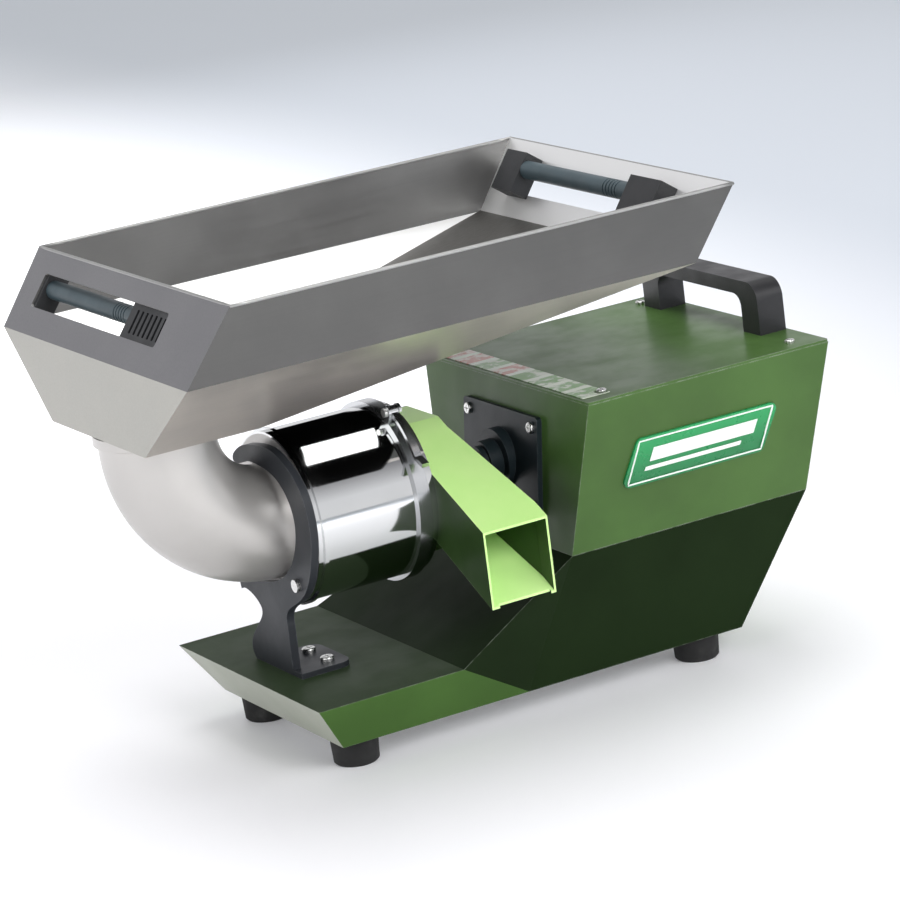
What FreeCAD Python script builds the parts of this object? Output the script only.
import FreeCAD, Part
import math
import os

# Bench-top electric fruit pulper: sheet-metal base and motor housing, horizontal
# steel drum fed through an elbow from a large lift-off hopper, side discharge chute.
# Millimetres, +Z up, +X towards the motor housing, -Y towards the chute outlet side.

Vector = FreeCAD.Vector

# ---- driving dimensions -------------------------------------------------------
X_SHIFT = 55.5            # moves the housing's front face from x = 0 to centre the box on the origin
FLOOR_GAP = 20.0          # height of the base above the bench
SHEET = 2.0               # base and housing sheet
HOPPER_SHEET = 1.5        # stainless hopper and drum sheet

BASE_FRONT_X = -208.0     # bottom edge of the base
BASE_REAR_X = 118.0
BASE_HALF_W = 91.0
TRAY_FRONT_X = -231.0     # flat tray in front of the housing
TRAY_REAR_X = -118.0
TRAY_HALF_W = 109.0
TRAY_Z = 56.0
FLANK_FOOT_X = -60.0      # where the tray's flank meets the bottom edge
FOLD_FRONT_X = -13.0      # fold between the lower body and the upright housing
FOLD_REAR_X = 184.5
FOLD_Z = 107.0
TOP_FRONT_X = 0.0         # top of the upright housing
TOP_REAR_X = 200.0
TOP_HALF_W = 116.0
TOP_Z = 219.0
LID_T = 2.0
WALL_TOP_Z = TOP_Z - LID_T

AXIS_Z = 162.5            # drum, shaft and gear axis
SHAFT_R = 8.0
RUN_GAP = 0.05            # radial running clearance of shafts in bores

DRUM_R = 61.5
DRUM_FRONT_X = -191.0
DRUM_REAR_X = -97.0
PIPE_R = 40.5             # feed elbow
BEND_R = 74.25
BEND_X = -197.0
BEND_Z = AXIS_Z + BEND_R
THROAT_X = BEND_X - BEND_R
HOPPER_BOTTOM_Z = 249.0

RIM_Z = 354.5             # hopper rim, fold and bottom outlines
RIM_FRONT_X = -273.0
RIM_REAR_X = 114.0
RIM_HALF_W = 151.5
HFOLD_Z = 305.0
HFOLD_FRONT_X = -310.0
HFOLD_REAR_X = 79.0
HFOLD_HALF_W = 148.0
HBOT_FRONT_X = -314.0
HBOT_REAR_X = -229.0
HBOT_HALF_W = 75.0

MODULE = 1.5
GEAR_TEETH = 60
PINION_TEETH = 20
CENTRE_DISTANCE = MODULE * (GEAR_TEETH + PINION_TEETH) / 2.0
MOTOR_Z = AXIS_Z - CENTRE_DISTANCE
GEAR_X = 24.0
GEAR_WIDTH = 12.0

FRONT_TILT = math.degrees(math.atan2(TOP_FRONT_X - FOLD_FRONT_X, WALL_TOP_Z - FOLD_Z))
REAR_TILT = math.degrees(math.atan2(TOP_REAR_X - FOLD_REAR_X, WALL_TOP_Z - FOLD_Z))
SIDE_TILT = math.degrees(math.atan2(TOP_HALF_W - BASE_HALF_W, WALL_TOP_Z - FOLD_Z))


# ---- helpers ------------------------------------------------------------------
def save(name, shape):
    """Moves a sub-part into the row frame and writes it."""
    placed = shape.copy()
    placed.translate(Vector(X_SHIFT, 0, 0))
    placed.exportStep("parts/%s.step" % name)
    box = placed.BoundBox
    print("%-22s solids %d volume %.0f x %.1f..%.1f z %.1f..%.1f valid %s" % (
        name, len(placed.Solids), placed.Volume, box.XMin, box.XMax, box.ZMin, box.ZMax, placed.isValid()))


def box(x0, x1, y0, y1, z0, z1):
    return Part.makeBox(x1 - x0, y1 - y0, z1 - z0, Vector(x0, y0, z0))


def rod_x(radius, x0, x1, y=0.0, z=AXIS_Z):
    return Part.makeCylinder(radius, x1 - x0, Vector(x0, y, z), Vector(1, 0, 0))


def rod_y(radius, y0, y1, x, z):
    return Part.makeCylinder(radius, y1 - y0, Vector(x, y0, z), Vector(0, 1, 0))


def rod_z(radius, z0, z1, x, y):
    return Part.makeCylinder(radius, z1 - z0, Vector(x, y, z0), Vector(0, 0, 1))


def tube_x(outer, inner, x0, x1, y=0.0, z=AXIS_Z):
    return rod_x(outer, x0, x1, y, z).cut(rod_x(inner, x0 - 1, x1 + 1, y, z))


def fuse(shapes):
    whole = shapes[0]
    for shape in shapes[1:]:
        whole = whole.fuse(shape)
    return whole.removeSplitter()


def cut_all(shape, tools):
    return shape.cut(Part.makeCompound(tools))


def polygon(points):
    return Part.Face(Part.makePolygon([Vector(*p) for p in points] + [Vector(*points[0])]))


def closed_solid(faces):
    solid = Part.makeSolid(Part.makeShell(faces))
    if solid.Volume < 0:
        solid.reverse()
    return solid


def faces_at(solid, height):
    return [f for f in solid.Faces if f.BoundBox.ZMax - f.BoundBox.ZMin < 0.01 and abs(f.BoundBox.ZMax - height) < 0.01]


def turned(shape, point, axis, degrees):
    result = shape.copy()
    result.rotate(Vector(*point), Vector(*axis), degrees)
    return result


def frustum(low, high):
    """Solid between two level rectangles, each (x0, x1, half width, z)."""
    def ring(r):
        x0, x1, w, z = r
        return [(x0, -w, z), (x1, -w, z), (x1, w, z), (x0, w, z)]
    a = ring(low)
    b = ring(high)
    faces = [polygon(a), polygon(b)]
    for i in range(4):
        j = (i + 1) % 4
        faces.append(polygon([a[i], a[j], b[j], b[i]]))
    return closed_solid(faces)


def on_front_wall(shape, y, z):
    """Places a piece built at the origin, outward along -X, on the housing's front wall."""
    x = FOLD_FRONT_X + (z - FOLD_Z) * math.tan(math.radians(FRONT_TILT))
    result = turned(shape, (0, 0, 0), (0, 1, 0), FRONT_TILT)
    result.translate(Vector(x, y, z))
    return result


def on_rear_wall(shape, y, z):
    """Places a piece built at the origin, outward along +X, on the housing's rear wall."""
    x = FOLD_REAR_X + (z - FOLD_Z) * math.tan(math.radians(REAR_TILT))
    result = turned(shape, (0, 0, 0), (0, 1, 0), REAR_TILT)
    result.translate(Vector(x, y, z))
    return result


def on_near_wall(shape, x, z):
    """Places a piece built at the origin, outward along -Y, on the housing's -Y wall."""
    y = -BASE_HALF_W - (z - FOLD_Z) * math.tan(math.radians(SIDE_TILT))
    result = turned(shape, (0, 0, 0), (1, 0, 0), SIDE_TILT)
    result.translate(Vector(x, y, z))
    return result


# ---- base and housing ---------------------------------------------------------
def lower_body(inset=0.0, over=0.0):
    """Faceted solid of the base, with its walls moved in and its open ends carried past."""
    low, top, tray = FLOOR_GAP - over, FOLD_Z + over, TRAY_Z - inset
    front_run = (TRAY_FRONT_X - BASE_FRONT_X) / (TRAY_Z - FLOOR_GAP)
    deck_run = (FOLD_FRONT_X - TRAY_REAR_X) / (FOLD_Z - TRAY_Z)
    rear_run = (FOLD_REAR_X - BASE_REAR_X) / (FOLD_Z - FLOOR_GAP)
    flank_run = (TRAY_HALF_W - BASE_HALF_W) / (TRAY_Z - FLOOR_GAP)
    front_in = BASE_FRONT_X + inset * math.hypot(1, front_run)
    deck_in = TRAY_REAR_X + inset * math.hypot(1, deck_run)
    rear_in = BASE_REAR_X - inset * math.hypot(1, rear_run)
    w = BASE_HALF_W - inset * math.hypot(1, flank_run)
    t = w + flank_run * (tray - FLOOR_GAP)
    b0, b1 = front_in + front_run * (low - FLOOR_GAP), rear_in + rear_run * (low - FLOOR_GAP)
    t0, t1 = front_in + front_run * (tray - FLOOR_GAP), deck_in + deck_run * (tray - TRAY_Z)
    f0, f1 = deck_in + deck_run * (top - TRAY_Z), rear_in + rear_run * (top - FLOOR_GAP)
    m = FLANK_FOOT_X
    faces = []
    for s in (-1, 1):
        faces.append(polygon([(b0, s * w, low), (t0, s * t, tray), (t1, s * t, tray), (m, s * w, low)]))
        faces.append(polygon([(t1, s * t, tray), (f0, s * w, top), (m, s * w, low)]))
        faces.append(polygon([(m, s * w, low), (f0, s * w, top), (f1, s * w, top), (b1, s * w, low)]))
    faces.append(polygon([(b0, -w, low), (b0, w, low), (t0, t, tray), (t0, -t, tray)]))
    faces.append(polygon([(t0, -t, tray), (t0, t, tray), (t1, t, tray), (t1, -t, tray)]))
    faces.append(polygon([(t1, -t, tray), (t1, t, tray), (f0, w, top), (f0, -w, top)]))
    faces.append(polygon([(f0, -w, top), (f0, w, top), (f1, w, top), (f1, -w, top)]))
    faces.append(polygon([(f1, -w, top), (f1, w, top), (b1, w, low), (b1, -w, low)]))
    faces.append(polygon([(b0, -w, low), (m, -w, low), (b1, -w, low), (b1, w, low), (m, w, low), (b0, w, low)]))
    return closed_solid(faces)


BRACKET_X = -205.5
BRACKET_T = 6.0
TAB_BOLT = (-178.0, -8.0)
FOOT_PLACES = ((-188.0, -68.0), (-188.0, 68.0), (92.0, -68.0), (92.0, 68.0))
FOOT_NAMES = ("foot_front_near", "foot_front_far", "foot_rear_near", "foot_rear_far")


def base_shell():
    shell = lower_body().cut(lower_body(SHEET, 1.0))
    holes = [rod_z(3.1, TRAY_Z - 5, TRAY_Z + 5, TAB_BOLT[0], y) for y in (TAB_BOLT[1] - 14, TAB_BOLT[1] + 14)]
    return cut_all(shell, holes)


def base_floor():
    inset = SHEET + 0.6
    rise = SHEET
    plate = box(BASE_FRONT_X + inset, BASE_REAR_X - 1 - inset, -BASE_HALF_W + inset, BASE_HALF_W - inset,
                FLOOR_GAP, FLOOR_GAP + rise)
    holes = [rod_z(2.6, FLOOR_GAP - 1, FLOOR_GAP + rise + 1, x, y) for x, y in FOOT_PLACES]
    slots = [box(20 + 12 * i, 26 + 12 * i, -30, 30, FLOOR_GAP - 1, FLOOR_GAP + rise + 1) for i in range(5)]
    return cut_all(plate, holes + slots)


def foot():
    """Turned rubber foot with a metal washer recess underneath."""
    profile = [(0, 3.0), (6.0, 3.0), (6.0, 0), (14.5, 0), (16.0, 1.5), (17.0, FLOOR_GAP - 1.5),
               (15.5, FLOOR_GAP), (0, FLOOR_GAP)]
    face = polygon([(r, 0, z) for r, z in profile])
    body = face.revolve(Vector(0, 0, 0), Vector(0, 0, 1), 360)
    return body.cut(rod_z(2.6, -1, FLOOR_GAP + 1, 0, 0))


def foot_screws():
    """One pan-head screw through each foot, with its nut inside the base."""
    pieces = []
    for x, y in FOOT_PLACES:
        screw = fuse([rod_z(5.0, 3.0, 6.0, x, y), rod_z(2.4, 5.0, FLOOR_GAP + 7.5, x, y)])
        nut = rod_z(4.4, FLOOR_GAP + SHEET, FLOOR_GAP + SHEET + 4.0, x, y).cut(rod_z(2.4, 0, 60, x, y))
        pieces += [screw, nut]
    return Part.makeCompound(pieces)


def foot_bored(place):
    """The foot takes the screw's head in a counterbore."""
    rubber = foot().cut(rod_z(5.1, -1, 6.0, 0, 0))
    rubber.translate(Vector(place[0], place[1], 0))
    return rubber


LID_SCREWS = ((22.0, -98.0), (22.0, 98.0), (178.0, -100.0), (178.0, 100.0))
PLATE_W, PLATE_H, PLATE_T = 104.0, 72.0, 4.0
PLATE_SCREWS = ((-44.0, -28.0), (44.0, -28.0), (-44.0, 28.0), (44.0, 28.0))
GRILLE_Z, GRILLE_W, GRILLE_H = 135.0, 84.0, 34.0
SWITCH_Y, SWITCH_Z = -58.0, 188.0
GLAND_Y, GLAND_Z = 62.0, 186.0
HANDLE_X, HANDLE_Y0, HANDLE_Y1 = 187.0, -66.0, 90.0


def housing_shell():
    solid = frustum((FOLD_FRONT_X, FOLD_REAR_X, BASE_HALF_W, FOLD_Z),
                    (TOP_FRONT_X, TOP_REAR_X, TOP_HALF_W, WALL_TOP_Z))
    shell = solid.makeThickness(faces_at(solid, FOLD_Z) + faces_at(solid, WALL_TOP_Z), -SHEET, 1e-4)
    tools = [rod_x(24.0, -30, 30)]
    tools += [on_front_wall(rod_x(2.1, -10, 10, 0, 0), y, AXIS_Z + z) for y, z in PLATE_SCREWS]
    tools.append(on_rear_wall(box(-9, 9, -GRILLE_W / 2 + 5, GRILLE_W / 2 - 5, -12, 12), 0, GRILLE_Z))
    tools.append(on_rear_wall(box(-9, 9, -13.2, 13.2, -9.2, 9.2), SWITCH_Y, SWITCH_Z))
    tools.append(on_rear_wall(rod_x(7.6, -9, 9, 0, 0), GLAND_Y, GLAND_Z))
    return cut_all(shell, tools)


def lid_tabs():
    """Four inward tabs welded under the lid's corners, which take its screws."""
    tabs = []
    for x, y in LID_SCREWS:
        y0, y1 = sorted((y - math.copysign(8, y), math.copysign(113.5, y)))
        tabs.append(box(x - 9, x + 9, y0, y1, WALL_TOP_Z - 2, WALL_TOP_Z).cut(rod_z(2.0, 0, 300, x, y)))
    return Part.makeCompound(tabs)


def housing_lid():
    plate = box(TOP_FRONT_X, TOP_REAR_X, -TOP_HALF_W, TOP_HALF_W, WALL_TOP_Z, TOP_Z)
    upright = [e for e in plate.Edges if abs(e.Vertexes[0].Z - e.Vertexes[-1].Z) > 1]
    plate = plate.makeFillet(1.5, upright)
    holes = [rod_z(2.2, 0, 300, x, y) for x, y in LID_SCREWS]
    holes += [rod_z(2.6, 0, 300, HANDLE_X, y) for y in (HANDLE_Y0 + 11, HANDLE_Y1 - 11)]
    return cut_all(plate, holes)


def pan_screw(radius, head_r, head_h, length):
    """Screw along +Z with its head's seat at the origin and a crossed drive."""
    head = Part.makeCylinder(head_r, head_h)
    head = head.makeFillet(head_h * 0.45, [e for e in head.Edges if abs(e.BoundBox.ZMin - head_h) < 1e-3][:1])
    shank = Part.makeCylinder(radius, length, Vector(0, 0, -length))
    cross = [box(-head_r * 0.6, head_r * 0.6, -0.4, 0.4, head_h * 0.5, head_h + 1),
             box(-0.4, 0.4, -head_r * 0.6, head_r * 0.6, head_h * 0.5, head_h + 1)]
    return cut_all(head.fuse(shank), cross)


def lid_screws():
    screws = []
    for x, y in LID_SCREWS:
        screw = pan_screw(1.95, 3.6, 2.2, 9.0)
        screw.translate(Vector(x, y, TOP_Z))
        screws.append(screw)
    return Part.makeCompound(screws)


# ---- bearing plate, boss and shaft seal ---------------------------------------
BEARING_R, BEARING_W = 16.0, 10.0


def bearing_plate():
    """Square flange plate on the front wall, with a boss that carries the front bearing."""
    plate = box(-PLATE_T, 0, -PLATE_W / 2, PLATE_W / 2, -PLATE_H / 2, PLATE_H / 2)
    plate = plate.makeFillet(3.0, [e for e in plate.Edges if abs(e.BoundBox.XLength - PLATE_T) < 0.01
                                   and e.BoundBox.YLength < 0.01 and e.BoundBox.ZLength < 0.01])
    plate = on_front_wall(plate, 0, AXIS_Z)
    body = fuse([plate, rod_x(22.0, -16.0, 8.0)])
    tools = [rod_x(BEARING_R, -8.0, 9.0), rod_x(SHAFT_R + 1.0, -40, 40)]
    tools += [on_front_wall(rod_x(2.1, -12, 12, 0, 0), y, AXIS_Z + z) for y, z in PLATE_SCREWS]
    return cut_all(body, tools)


def plate_screws():
    screws = []
    for y, z in PLATE_SCREWS:
        screw = turned(pan_screw(1.95, 4.2, 2.4, 12.0), (0, 0, 0), (0, 1, 0), -90)
        screw.translate(Vector(-PLATE_T, 0, 0))
        screws.append(on_front_wall(screw, y, AXIS_Z + z))
    return Part.makeCompound(screws)


def ball_bearing(x0):
    """Inner race, outer race and balls as one group of separate solids."""
    outer = tube_x(BEARING_R, BEARING_R - 2.6, x0, x0 + BEARING_W)
    inner = tube_x(SHAFT_R + 2.4, SHAFT_R + RUN_GAP, x0, x0 + BEARING_W)
    ball_r = 1.35
    ring_r = (BEARING_R - 2.6 + SHAFT_R + 2.4) / 2.0
    balls = []
    for i in range(9):
        a = 2 * math.pi * i / 9
        centre = Vector(x0 + BEARING_W / 2, ring_r * math.cos(a), AXIS_Z + ring_r * math.sin(a))
        balls.append(Part.makeSphere(ball_r, centre))
    return Part.makeCompound([outer, inner] + balls)


def shaft_collar():
    """Dark dust boss pressed over the bearing plate's nose."""
    return fuse([tube_x(15.0, SHAFT_R + 1.2, -26.0, -16.0), tube_x(12.0, SHAFT_R + 1.2, -30.0, -26.0)])


# ---- drum, elbow and bracket --------------------------------------------------
def drum_barrel():
    outlet = rod_x(DRUM_R - HOPPER_SHEET, DRUM_FRONT_X - 1, DRUM_REAR_X + 1)
    barrel = rod_x(DRUM_R, DRUM_FRONT_X, DRUM_REAR_X).cut(outlet)
    bead = tube_x(DRUM_R + 1.6, DRUM_R - 0.5, DRUM_FRONT_X + 4, DRUM_FRONT_X + 7)
    return fuse([barrel, bead])


def drum_front_head():
    """Dished front head with a short neck that the elbow sits in."""
    inner = DRUM_R - HOPPER_SHEET
    disc = tube_x(inner, PIPE_R, DRUM_FRONT_X, DRUM_FRONT_X + 3)
    neck = tube_x(PIPE_R + 2.0, PIPE_R, DRUM_FRONT_X - 4, DRUM_FRONT_X + 3)
    return fuse([disc, neck])


def drum_rear_head():
    """Rear head: open below and beside the shaft, so pulp passes into the chute."""
    disc = rod_x(DRUM_R - HOPPER_SHEET, DRUM_REAR_X - 4, DRUM_REAR_X)
    window = rod_x(34.0, DRUM_REAR_X - 5, DRUM_REAR_X + 1)
    return disc.cut(window)


CLAMP_X0, CLAMP_X1 = DRUM_REAR_X - 16.0, DRUM_REAR_X - 6.0
LATCH_R, LATCH_ANGLE = 71.5, 118.0
LATCH_PIN_R = 2.0


def polar(radius, degrees):
    a = math.radians(degrees)
    return radius * math.cos(a), AXIS_Z + radius * math.sin(a)


def clamp_ring():
    """Split clamp band with two ears that carry the toggle lever's pin."""
    band = tube_x(DRUM_R + 3.2, DRUM_R, CLAMP_X0, CLAMP_X1)
    y, z = polar(LATCH_R, LATCH_ANGLE)
    ears = []
    for x0 in (CLAMP_X0, CLAMP_X1 - 2.0):
        ear = box(x0, x0 + 2.0, -4.5, 4.5, -9.0, 0).fuse(rod_x(4.5, x0, x0 + 2.0, 0, 0))
        ear = turned(ear, (0, 0, 0), (1, 0, 0), LATCH_ANGLE - 90)
        ear.translate(Vector(0, y, z))
        ears.append(ear)
    ring = fuse([band] + ears).cut(rod_x(DRUM_R, CLAMP_X0 - 1, CLAMP_X1 + 1))
    return ring.cut(rod_x(LATCH_PIN_R, CLAMP_X0 - 1, CLAMP_X1 + 1, y, z))


def clamp_pin():
    y, z = polar(LATCH_R, LATCH_ANGLE)
    return fuse([rod_x(LATCH_PIN_R, CLAMP_X0 - 1.5, CLAMP_X1 + 1.5, y, z),
                 rod_x(LATCH_PIN_R + 1.2, CLAMP_X0 - 2.5, CLAMP_X0 - 0.3, y, z)])


def clamp_lever():
    """Toggle lever: an arc over the band from its pin, with an upturned finger tab."""
    x0, x1 = CLAMP_X0 + 2.3, CLAMP_X1 - 2.3
    ring = tube_x(LATCH_R + 1.5, LATCH_R - 1.5, x0, x1)
    sweep = 34.0
    wedge_points = [(0, 0)]
    for i in range(5):
        a = math.radians(LATCH_ANGLE + sweep * i / 4)
        wedge_points.append((200 * math.cos(a), 200 * math.sin(a)))
    wedge = polygon([(x0 - 1, y, AXIS_Z + z) for y, z in wedge_points]).extrude(Vector(x1 - x0 + 2, 0, 0))
    strip = ring.common(wedge)
    y, z = polar(LATCH_R, LATCH_ANGLE)
    barrel = rod_x(4.0, x0, x1, y, z)
    ty, tz = polar(LATCH_R + 1.0, LATCH_ANGLE + sweep)
    tab = turned(box(x0, x1, -9.0, 1.0, -1.5, 1.5), (0, 0, 0), (1, 0, 0), 22)
    tab.translate(Vector(0, ty, tz))
    return fuse([strip, barrel, tab]).cut(rod_x(LATCH_PIN_R + RUN_GAP, x0 - 1, x1 + 1, y, z))


def bent_rod(radius, top, front_end):
    """Level stretch, quarter bend and upright stretch of the feed pipe."""
    level = rod_x(radius, BEND_X, front_end)
    section = Part.Face(Part.Wire(Part.makeCircle(radius, Vector(BEND_X, 0, AXIS_Z), Vector(1, 0, 0))))
    bend = section.revolve(Vector(BEND_X, 0, BEND_Z), Vector(0, 1, 0), 90)
    upright = rod_z(radius, BEND_Z, top, THROAT_X, 0)
    return fuse([level, bend, upright])


PIPE_WALL = 1.5
COLLAR_TOP = HOPPER_BOTTOM_Z - 0.3


def feed_elbow():
    outer = bent_rod(PIPE_R, COLLAR_TOP, DRUM_FRONT_X + 3)
    inner = bent_rod(PIPE_R - PIPE_WALL, COLLAR_TOP, DRUM_FRONT_X + 3)
    return outer.cut(inner)


def elbow_collar():
    """Rolled ring around the elbow's mouth that the hopper rests above."""
    return rod_z(PIPE_R + 3.0, COLLAR_TOP - 7, COLLAR_TOP, THROAT_X, 0).cut(
        rod_z(PIPE_R, 0, 400, THROAT_X, 0))


BRACKET_LEFT = ((34, TRAY_Z), (23, 84), (14, 97), (22, 104), (43, 106))
BRACKET_INNER = ((44, 111), (8, 118.5), (-24, 126.5), (-44, 141), (-55, 158), (-58, 175), (-51, 191),
                 (-36, 202), (-14, 206.5), (6, 206), (17, 202.5))
BRACKET_TIP = ((22, 201.5), (26.5, 204), (24.5, 208.5))
BRACKET_OUTER = ((10, 216.5), (-10, 220.5), (-34, 221), (-56, 213), (-72, 200), (-79, 184), (-80, 166),
                 (-74, 146), (-66, 131), (-54, 119), (-38, 110), (-27, 103))
BRACKET_RIGHT = ((-24, 92), (-23, TRAY_Z))


def spline(points):
    curve = Part.BSplineCurve()
    curve.interpolate([Vector(BRACKET_X, y, z) for y, z in points])
    return curve.toShape()


def support_bracket():
    """Flat plate on the tray: a foot, a narrow post and a hook that cradles the pipe."""
    inner = BRACKET_INNER + (BRACKET_TIP[0],)
    outer = (BRACKET_TIP[-1],) + BRACKET_OUTER + (BRACKET_RIGHT[0],)
    edges = [spline(BRACKET_LEFT), spline(inner), spline(BRACKET_TIP), spline(outer)]
    for pair in ((BRACKET_RIGHT[0], BRACKET_RIGHT[1]), (BRACKET_RIGHT[1], BRACKET_LEFT[0]),
                 (BRACKET_LEFT[-1], BRACKET_INNER[0])):
        edges.append(Part.makeLine(*[Vector(BRACKET_X, y, z) for y, z in pair]))
    plate = Part.Face(Part.Wire(Part.sortEdges(edges)[0])).extrude(Vector(BRACKET_T, 0, 0))
    tab_x1 = TAB_BOLT[0] + 13
    tab = box(BRACKET_X, tab_x1, -36, 20, TRAY_Z, TRAY_Z + 4)
    tab = tab.makeFillet(9.0, [e for e in tab.Edges if abs(e.BoundBox.ZLength - 4) < 0.01
                               and e.BoundBox.XMin > tab_x1 - 0.1])
    holes = [rod_z(3.1, 0, 90, TAB_BOLT[0], y) for y in (TAB_BOLT[1] - 14, TAB_BOLT[1] + 14)]
    holes.append(rod_x(3.1, BRACKET_X - 5, BRACKET_X + 12, -50, 127.5))
    return cut_all(fuse([plate, tab]), holes)


def bracket_bolts():
    pieces = []
    for y in (TAB_BOLT[1] - 14, TAB_BOLT[1] + 14):
        bolt = pan_screw(2.9, 5.0, 3.0, 14.0)
        bolt.translate(Vector(TAB_BOLT[0], y, TRAY_Z + 4))
        nut = rod_z(5.0, TRAY_Z - SHEET - 4, TRAY_Z - SHEET, TAB_BOLT[0], y).cut(rod_z(2.9, 0, 90, TAB_BOLT[0], y))
        pieces += [bolt, nut]
    rivet = fuse([rod_x(3.1, BRACKET_X - 1.5, BRACKET_X + BRACKET_T, -50, 127.5),
                  rod_x(4.6, BRACKET_X - 3.0, BRACKET_X, -50, 127.5)])
    return Part.makeCompound(pieces + [rivet])


# ---- discharge chute ----------------------------------------------------------
CHUTE_X0, CHUTE_X1 = DRUM_REAR_X, -46.0
CHUTE_OUT_Y = -122.0
CHUTE_T = 1.5


def chute_block():
    """Outer form: a collecting box round the shaft, then a duct falling to the outlet."""
    side = [(38, 206), (-8, 206), (CHUTE_OUT_Y, 151), (CHUTE_OUT_Y, 96), (-52, 132), (-36, 120), (38, 120)]
    block = polygon([(CHUTE_X0, y, z) for y, z in side]).extrude(Vector(CHUTE_X1 - CHUTE_X0, 0, 0))
    relief = polygon([(CHUTE_X1 + 1, 60, 0), (CHUTE_X1 - 14, 60, 0), (CHUTE_X1 - 14, -20, 0),
                      (CHUTE_X1 + 1, CHUTE_OUT_Y + 8, 0)]).extrude(Vector(0, 0, 300))
    return block.cut(relief)


def discharge_chute():
    block = chute_block()
    mouth = [f for f in block.Faces if f.BoundBox.YMax < CHUTE_OUT_Y + 0.01]
    shell = block.makeThickness(mouth, -CHUTE_T, 1e-4)
    inlet = rod_x(34.0, CHUTE_X0 - 5, CHUTE_X0 + 3)
    bore = rod_x(14.0, -75, -40)
    lip = box(CHUTE_X0 + 6, CHUTE_X1 - 4, CHUTE_OUT_Y - 1, CHUTE_OUT_Y + 2, 95, 99)
    return cut_all(shell, [inlet, bore, lip])


def shaft_seal():
    """Lip-seal cartridge that closes the chute wall around the shaft."""
    x0 = CHUTE_X1 - 14 - CHUTE_T
    return fuse([tube_x(14.0, SHAFT_R + RUN_GAP, x0, x0 + CHUTE_T + 0.01),
                 tube_x(17.0, SHAFT_R + RUN_GAP, x0 + CHUTE_T, x0 + CHUTE_T + 4)])


# ---- drive train --------------------------------------------------------------
SHAFT_X0, SHAFT_X1 = DRUM_FRONT_X + 14.0, 74.0
HUB_X0, HUB_X1 = DRUM_FRONT_X + 10.0, DRUM_REAR_X - 8.0


def gear(teeth, x0, z_axis, bore, phase):
    """Spur gear with straight-flanked teeth and running backlash."""
    pitch = MODULE * teeth / 2.0
    tip, root = pitch + 0.85 * MODULE, pitch - 1.15 * MODULE
    step = 2 * math.pi / teeth
    points = []
    for i in range(teeth):
        centre = phase + i * step
        for radius, share in ((root, -0.33), (tip, -0.11), (tip, 0.11), (root, 0.33)):
            a = centre + share * step
            points.append((x0, radius * math.cos(a), z_axis + radius * math.sin(a)))
    blank = polygon(points).extrude(Vector(GEAR_WIDTH, 0, 0))
    return blank.cut(rod_x(bore, x0 - 1, x0 + GEAR_WIDTH + 1, 0, z_axis))


def drive_gear():
    body = gear(GEAR_TEETH, GEAR_X, AXIS_Z, SHAFT_R, math.pi / 2)
    holes = []
    for i in range(6):
        a = math.pi * i / 3
        holes.append(rod_x(7.0, GEAR_X - 1, GEAR_X + GEAR_WIDTH + 1, 26 * math.cos(a), AXIS_Z + 26 * math.sin(a)))
    return cut_all(body, holes)


def pinion():
    half_tooth = math.pi / PINION_TEETH
    return gear(PINION_TEETH, GEAR_X, MOTOR_Z, 5.0, math.pi / 2 + half_tooth)


def drive_shaft():
    shaft = rod_x(SHAFT_R, SHAFT_X0, SHAFT_X1)
    return shaft.makeChamfer(1.0, [e for e in shaft.Edges if e.BoundBox.XLength < 0.01])


def rotor_hub():
    hub = fuse([rod_x(15.0, HUB_X0, HUB_X1), Part.makeSphere(15.0, Vector(HUB_X0, 0, AXIS_Z))])
    return hub.cut(rod_x(SHAFT_R, SHAFT_X0, HUB_X1 + 1))


def rotor_paddles():
    """Four pitched paddles standing on the hub."""
    blades = []
    for i in range(4):
        blade = box(HUB_X0 + 8, HUB_X1 - 2, -1.5, 1.5, 14.9, DRUM_R - HOPPER_SHEET - 3.0)
        blade = turned(blade, ((HUB_X0 + HUB_X1) / 2, 0, 0), (0, 0, 1), 6)
        blade.translate(Vector(0, 0, AXIS_Z))
        blade = turned(blade, (0, 0, AXIS_Z), (1, 0, 0), 45 + 90 * i)
        blades.append(blade.cut(rod_x(15.0, HUB_X0 - 30, HUB_X1 + 30)))
    return Part.makeCompound(blades)


BULKHEAD_X = 58.0
CARRIER_R = 20.0
MOTOR_X0, MOTOR_X1 = 66.0, 128.0
MOTOR_R = 36.0
MOTOR_BOLT_R = 29.0
MOTOR_BOLT_ANGLES = [math.radians(45 + 90 * i) for i in range(4)]


def motor_bolt_holes(x0, x1):
    return [rod_x(2.6, x0, x1, MOTOR_BOLT_R * math.cos(a), MOTOR_Z + MOTOR_BOLT_R * math.sin(a))
            for a in MOTOR_BOLT_ANGLES]


def gear_bulkhead():
    """Vertical plate across the housing that carries the rear bearing and the motor."""
    plate = box(BULKHEAD_X, BULKHEAD_X + 4, -86, 86, 50, 212)
    carrier = rod_x(CARRIER_R, BULKHEAD_X, BULKHEAD_X + 14)
    tools = [rod_x(BEARING_R, BULKHEAD_X + 2, BULKHEAD_X + 15), rod_x(SHAFT_R + 1.5, BULKHEAD_X - 1, BULKHEAD_X + 20),
             rod_x(12.0, BULKHEAD_X - 1, BULKHEAD_X + 6, 0, MOTOR_Z)]
    tools += motor_bolt_holes(BULKHEAD_X - 1, BULKHEAD_X + 6)
    return cut_all(fuse([plate, carrier]), tools)


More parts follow.
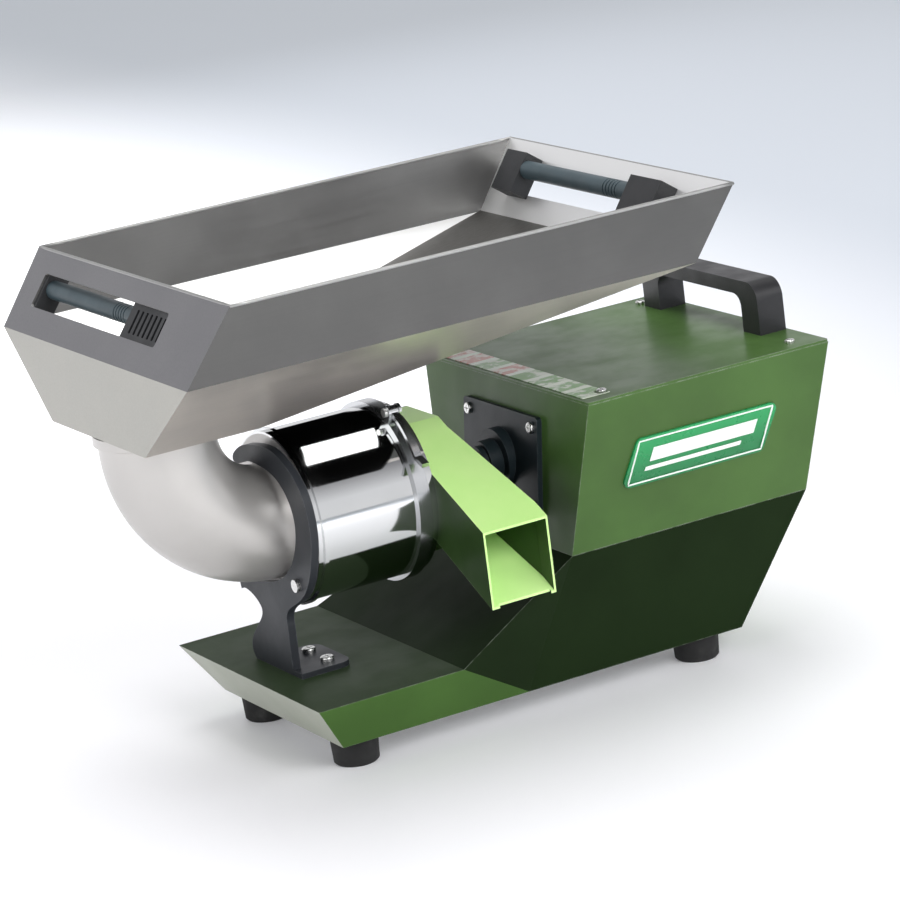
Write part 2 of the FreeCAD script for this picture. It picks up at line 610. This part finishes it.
def motor_case():
    """Ribbed motor body with a front nose that spigots into the bulkhead."""
    can = tube_x(MOTOR_R, MOTOR_R - 3, MOTOR_X0, MOTOR_X1, 0, MOTOR_Z)
    front = tube_x(MOTOR_R, 5.0 + RUN_GAP, BULKHEAD_X + 4, MOTOR_X0, 0, MOTOR_Z)
    nose = tube_x(12.0, 5.0 + RUN_GAP, BULKHEAD_X, BULKHEAD_X + 4.1, 0, MOTOR_Z)
    stator = tube_x(MOTOR_R - 3, 22.5, MOTOR_X0 + 8, MOTOR_X1 - 14, 0, MOTOR_Z)
    fins = []
    for i in range(24):
        fin = box(MOTOR_X0 + 4, MOTOR_X1 - 6, -0.8, 0.8, MOTOR_R - 0.5, MOTOR_R + 2.5)
        fin = turned(fin, (0, 0, 0), (1, 0, 0), 360.0 * i / 24)
        fin.translate(Vector(0, 0, MOTOR_Z))
        fins.append(fin)
    body = can.fuse([front, nose, stator] + fins)
    return cut_all(body, motor_bolt_holes(BULKHEAD_X + 2, MOTOR_X0 + 1))


def motor_end_bell():
    disc = rod_x(MOTOR_R, MOTOR_X1, MOTOR_X1 + 4, 0, MOTOR_Z)
    slots = []
    for i in range(8):
        a = math.radians(22.5 + 45 * i)
        slots.append(rod_x(5.0, MOTOR_X1 - 1, MOTOR_X1 + 5, 24 * math.cos(a), MOTOR_Z + 24 * math.sin(a)))
    return cut_all(disc, slots + [rod_x(5.0 + RUN_GAP, MOTOR_X1 - 1, MOTOR_X1 + 5, 0, MOTOR_Z)])


def motor_bolts():
    bolts = []
    for a in MOTOR_BOLT_ANGLES:
        y, z = MOTOR_BOLT_R * math.cos(a), MOTOR_Z + MOTOR_BOLT_R * math.sin(a)
        bolts.append(fuse([rod_x(2.5, BULKHEAD_X, MOTOR_X0 - 0.5, y, z), rod_x(4.2, BULKHEAD_X - 3, BULKHEAD_X, y, z)]))
    return Part.makeCompound(bolts)


def motor_rotor():
    """Motor shaft with its laminated rotor core."""
    core = rod_x(21.8, MOTOR_X0 + 9, MOTOR_X1 - 15, 0, MOTOR_Z)
    return fuse([core, rod_x(5.0, GEAR_X - 2, MOTOR_X1 + 18, 0, MOTOR_Z)])


def cooling_fan():
    x0 = MOTOR_X1 + 6.0
    hub = rod_x(11.0, x0, x0 + 10, 0, MOTOR_Z)
    blades = []
    for i in range(7):
        blade = box(x0 + 1, x0 + 9, -0.9, 0.9, 10.5, 28.0)
        blade = turned(blade, (x0 + 5, 0, 0), (0, 0, 1), 30)
        blade = turned(blade, (0, 0, 0), (1, 0, 0), 360.0 * i / 7)
        blade.translate(Vector(0, 0, MOTOR_Z))
        blades.append(blade)
    return fuse([hub] + blades).cut(rod_x(5.0, x0 - 1, x0 + 12, 0, MOTOR_Z))


def run_capacitor():
    can = rod_x(14.0, BULKHEAD_X + 8, BULKHEAD_X + 62, 62, 160)
    return can.fuse(rod_x(3.0, BULKHEAD_X + 4, BULKHEAD_X + 8.1, 62, 160))


# ---- switch, gland, grille, plaque, strip, handle ------------------------------
ROCKER_AXIS = 2.5


def switch_bezel():
    bezel = box(0, 2.4, -15.5, 15.5, -11.5, 11.5).cut(box(-1, 4, -11.0, 11.0, -7.0, 7.0))
    case = box(-16, 0, -13, 13, -9, 9).cut(box(-12, 1, -11.0, 11.0, -7.0, 7.0))
    return on_rear_wall(fuse([bezel, case]), SWITCH_Y, SWITCH_Z)


def switch_rocker():
    """Rocker with two sloping pads about a pin along Y."""
    points = [(-6.0, -3.0), (-6.0, 3.0), (1.2, 6.2), (5.2, 5.6), (3.2, 0), (2.6, -5.6), (-1.2, -6.2)]
    rocker = polygon([(x, -10.6, z) for x, z in points]).extrude(Vector(0, 21.2, 0))
    return on_rear_wall(rocker, SWITCH_Y, SWITCH_Z)


def power_gland():
    """Screwed cable inlet, with no cord fitted."""
    body = fuse([rod_x(7.5, -8, 0, 0, 0), rod_x(10.0, 0, 3, 0, 0), rod_x(8.5, 3, 7, 0, 0)])
    body = fuse([body, rod_x(10.0, -6, -SHEET, 0, 0)])
    return on_rear_wall(body.cut(rod_x(3.6, -10, 10, 0, 0)), GLAND_Y, GLAND_Z)


def vent_grille():
    frame = box(0, 2.0, -GRILLE_W / 2, GRILLE_W / 2, -GRILLE_H / 2, GRILLE_H / 2)
    slots = [box(-1, 3, -GRILLE_W / 2 + 7 + 9 * i, -GRILLE_W / 2 + 12 + 9 * i, -12, 12) for i in range(8)]
    return on_rear_wall(cut_all(frame, slots), 0, GRILLE_Z)


def side_plaque():
    """Plain badge plate with a raised border, leaning like a parallelogram."""
    def slab(inset, depth0, depth1):
        lean = 6.5
        pts = [(-59 - lean + inset * 1.4, -18 + inset), (59 - lean - inset, -18 + inset),
               (59 + lean - inset * 1.4, 18 - inset), (-59 + lean + inset, 18 - inset)]
        face = polygon([(x, -depth0, z) for x, z in pts])
        return face.extrude(Vector(0, depth0 - depth1, 0))
    plate = slab(0, 0, 1.6)
    corners = [e for e in plate.Edges if abs(e.BoundBox.YLength - 1.6) < 0.01 and e.BoundBox.XLength < 0.01]
    plate = plate.makeFillet(5.0, corners).cut(slab(3.0, 1.1, 2.0))
    return on_near_wall(plate, 92.0, 165.0)


def label_strip():
    """Blank trim strip along the lid's front edge."""
    return box(3.0, 25.0, -104.0, 104.0, TOP_Z, TOP_Z + 0.5).cut(
        rod_z(5.5, TOP_Z - 1, TOP_Z + 2, LID_SCREWS[0][0], LID_SCREWS[0][1])).cut(
        rod_z(5.5, TOP_Z - 1, TOP_Z + 2, LID_SCREWS[1][0], LID_SCREWS[1][1]))


HANDLE_TOP = 257.0


def carry_handle():
    """Bridge handle of rounded rectangular section on two flanged feet."""
    outer = box(HANDLE_X - 11, HANDLE_X + 11, HANDLE_Y0, HANDLE_Y1, TOP_Z, HANDLE_TOP)
    outer = outer.makeFillet(13.0, [e for e in outer.Edges if e.BoundBox.XLength > 20 and e.BoundBox.ZMin > TOP_Z + 5])
    inner = box(HANDLE_X - 15, HANDLE_X + 15, HANDLE_Y0 + 22, HANDLE_Y1 - 22, TOP_Z - 1, HANDLE_TOP - 10.5)
    inner = inner.makeFillet(9.0, [e for e in inner.Edges if e.BoundBox.XLength > 20 and e.BoundBox.ZMin > TOP_Z + 5])
    bridge = outer.cut(inner)
    holes = []
    for y in (HANDLE_Y0 + 11, HANDLE_Y1 - 11):
        holes.append(rod_z(2.5, TOP_Z - 1, TOP_Z + 20, HANDLE_X, y))
    return cut_all(bridge, holes)


def handle_screws():
    screws = []
    for y in (HANDLE_Y0 + 11, HANDLE_Y1 - 11):
        shank = rod_z(2.5, WALL_TOP_Z, TOP_Z + 18, HANDLE_X, y)
        head = rod_z(5.0, WALL_TOP_Z - 3, WALL_TOP_Z, HANDLE_X, y)
        screws.append(fuse([shank, head]))
    return Part.makeCompound(screws)


# ---- hopper -------------------------------------------------------------------
WINDOW_Z = 331.0
FRONT_WINDOW = (-78.0, 122.0)
REAR_WINDOW = (-84.0, 112.0)
WINDOW_HALF_H = 12.5
END_LEAN = math.degrees(math.atan2(RIM_FRONT_X - HFOLD_FRONT_X, RIM_Z - HFOLD_Z))
REAR_LEAN = math.degrees(math.atan2(RIM_REAR_X - HFOLD_REAR_X, RIM_Z - HFOLD_Z))


def on_hopper_end(shape, front):
    """Places a piece built about the origin on the front or rear end panel's window."""
    lean = END_LEAN if front else REAR_LEAN
    fold_x = HFOLD_FRONT_X if front else HFOLD_REAR_X
    result = turned(shape, (0, 0, 0), (0, 1, 0), lean)
    result.translate(Vector(fold_x + (WINDOW_Z - HFOLD_Z) * math.tan(math.radians(lean)), 0, WINDOW_Z))
    return result


def hopper_form(over=0.0):
    """Closed convex form of the hopper, carried past its rim by the given height."""
    k = over / (RIM_Z - HFOLD_Z)
    fold = (HFOLD_FRONT_X, HFOLD_REAR_X, HFOLD_HALF_W, HFOLD_Z)
    rim = (RIM_FRONT_X, RIM_REAR_X, RIM_HALF_W, RIM_Z)
    rim = tuple(r + k * (r - f) for r, f in zip(rim, fold))
    bottom = (HBOT_FRONT_X, HBOT_REAR_X, HBOT_HALF_W, HOPPER_BOTTOM_Z)
    return fuse([frustum(fold, rim), frustum(bottom, fold)])


def inset_walls(solid, distance):
    """Convex solid with every face but its top moved in by the sheet's thickness."""
    slabs = []
    for face in solid.Faces:
        normal = face.normalAt(0, 0)
        if normal.z < 0.9:
            slab = Part.makeBox(1200, 1200, 60, Vector(-600, -600, 0))
            slab.Placement = FreeCAD.Placement(face.CenterOfMass - normal * distance,
                                               FreeCAD.Rotation(Vector(0, 0, 1), normal))
            slabs.append(slab)
    for slab in slabs:
        solid = solid.cut(slab)
    return solid


def hopper_tray():
    shell = hopper_form().cut(inset_walls(hopper_form(3.0), HOPPER_SHEET))
    tools = [rod_z(PIPE_R - PIPE_WALL - 2.4, 0, 260, THROAT_X, 0)]
    for (y0, y1), front in ((FRONT_WINDOW, True), (REAR_WINDOW, False)):
        window = box(-12, 12, y0, y1, -WINDOW_HALF_H, WINDOW_HALF_H)
        window = window.makeFillet(2.5, [e for e in window.Edges if e.BoundBox.XLength > 20])
        tools.append(on_hopper_end(window, front))
    return cut_all(shell, tools)


def hopper_spigot():
    """Short neck below the hopper that drops into the elbow."""
    r = PIPE_R - PIPE_WALL - 0.9
    neck = rod_z(r, COLLAR_TOP - 14, HOPPER_BOTTOM_Z, THROAT_X, 0)
    return neck.cut(rod_z(r - HOPPER_SHEET, 0, 400, THROAT_X, 0))


GRIP_R = 6.75
GRIP_OFFSET = 10.0
GRIP_RISE = 4.5


def grip_bar(front):
    side = 1 if front else -1
    y0, y1 = (-22.0, FRONT_WINDOW[1] - 4) if front else (-52.0, REAR_WINDOW[1] - 20)
    bar = rod_y(GRIP_R, y0, y1, side * GRIP_OFFSET, GRIP_RISE)
    grooves = []
    for i in range(5):
        y = y0 + 12 + i * 4.0
        grooves.append(rod_y(GRIP_R + 1, y, y + 1.4, side * GRIP_OFFSET, GRIP_RISE).cut(
            rod_y(GRIP_R - 0.8, y - 1, y + 3, side * GRIP_OFFSET, GRIP_RISE)))
    return on_hopper_end(cut_all(bar, grooves), front)


def grip_brackets(front):
    """End blocks that hold the grip bar to the inside of the end panel."""
    side = 1 if front else -1
    window = FRONT_WINDOW if front else REAR_WINDOW
    y0, y1 = (-22.0, FRONT_WINDOW[1] - 4) if front else (-52.0, REAR_WINDOW[1] - 20)
    wall = HOPPER_SHEET if front else -HOPPER_SHEET
    blocks = []
    for a, b in ((window[0] - 8, y0), (y1, window[1] + 8)):
        x0, x1 = sorted((wall, side * (GRIP_OFFSET + GRIP_R)))
        block = box(x0, x1, a, b, -WINDOW_HALF_H - 3, WINDOW_HALF_H + 3)
        for i in range(int((b - a - 14) / 7)):
            gap = box(x0 - 1 if front else x0 + 4, x1 - 4 if front else x1 + 1,
                      a + 10 + 7 * i, a + 13 + 7 * i, -WINDOW_HALF_H + 4, WINDOW_HALF_H - 4)
            block = block.cut(gap)
        blocks.append(on_hopper_end(block, front))
    return Part.makeCompound(blocks)


# ---- build --------------------------------------------------------------------
def build():
    os.makedirs("parts", exist_ok=True)
    save("base_shell", base_shell())
    save("base_floor", base_floor())
    for name, place in zip(FOOT_NAMES, FOOT_PLACES):
        save(name, foot_bored(place))
    save("foot_screws", foot_screws())
    save("housing_shell", housing_shell())
    save("lid_tabs", lid_tabs())
    save("housing_lid", housing_lid())
    save("lid_screws", lid_screws())
    save("bearing_plate", bearing_plate())
    save("plate_screws", plate_screws())
    save("front_bearing", ball_bearing(-7.0))
    save("rear_bearing", ball_bearing(BULKHEAD_X + 2.5))
    save("shaft_collar", shaft_collar())
    save("drum_barrel", drum_barrel())
    save("drum_front_head", drum_front_head())
    save("drum_rear_head", drum_rear_head())
    save("clamp_ring", clamp_ring())
    save("clamp_pin", clamp_pin())
    save("clamp_lever", clamp_lever())
    save("feed_elbow", feed_elbow())
    save("elbow_collar", elbow_collar())
    save("support_bracket", support_bracket())
    save("bracket_bolts", bracket_bolts())
    save("discharge_chute", discharge_chute())
    save("shaft_seal", shaft_seal())
    save("drive_shaft", drive_shaft())
    save("drive_gear", drive_gear())
    save("rotor_hub", rotor_hub())
    save("rotor_paddles", rotor_paddles())
    save("gear_bulkhead", gear_bulkhead())
    save("motor_case", motor_case())
    save("motor_end_bell", motor_end_bell())
    save("motor_bolts", motor_bolts())
    save("motor_rotor", motor_rotor())
    save("motor_pinion", pinion())
    save("cooling_fan", cooling_fan())
    save("run_capacitor", run_capacitor())
    save("switch_bezel", switch_bezel())
    save("switch_rocker", switch_rocker())
    save("power_gland", power_gland())
    save("vent_grille", vent_grille())
    save("side_plaque", side_plaque())
    save("label_strip", label_strip())
    save("carry_handle", carry_handle())
    save("handle_screws", handle_screws())
    save("hopper_tray", hopper_tray())
    save("hopper_spigot", hopper_spigot())
    for label, front in (("front", True), ("rear", False)):
        save(label + "_grip", grip_bar(front))
        save(label + "_grip_brackets", grip_brackets(front))


build()
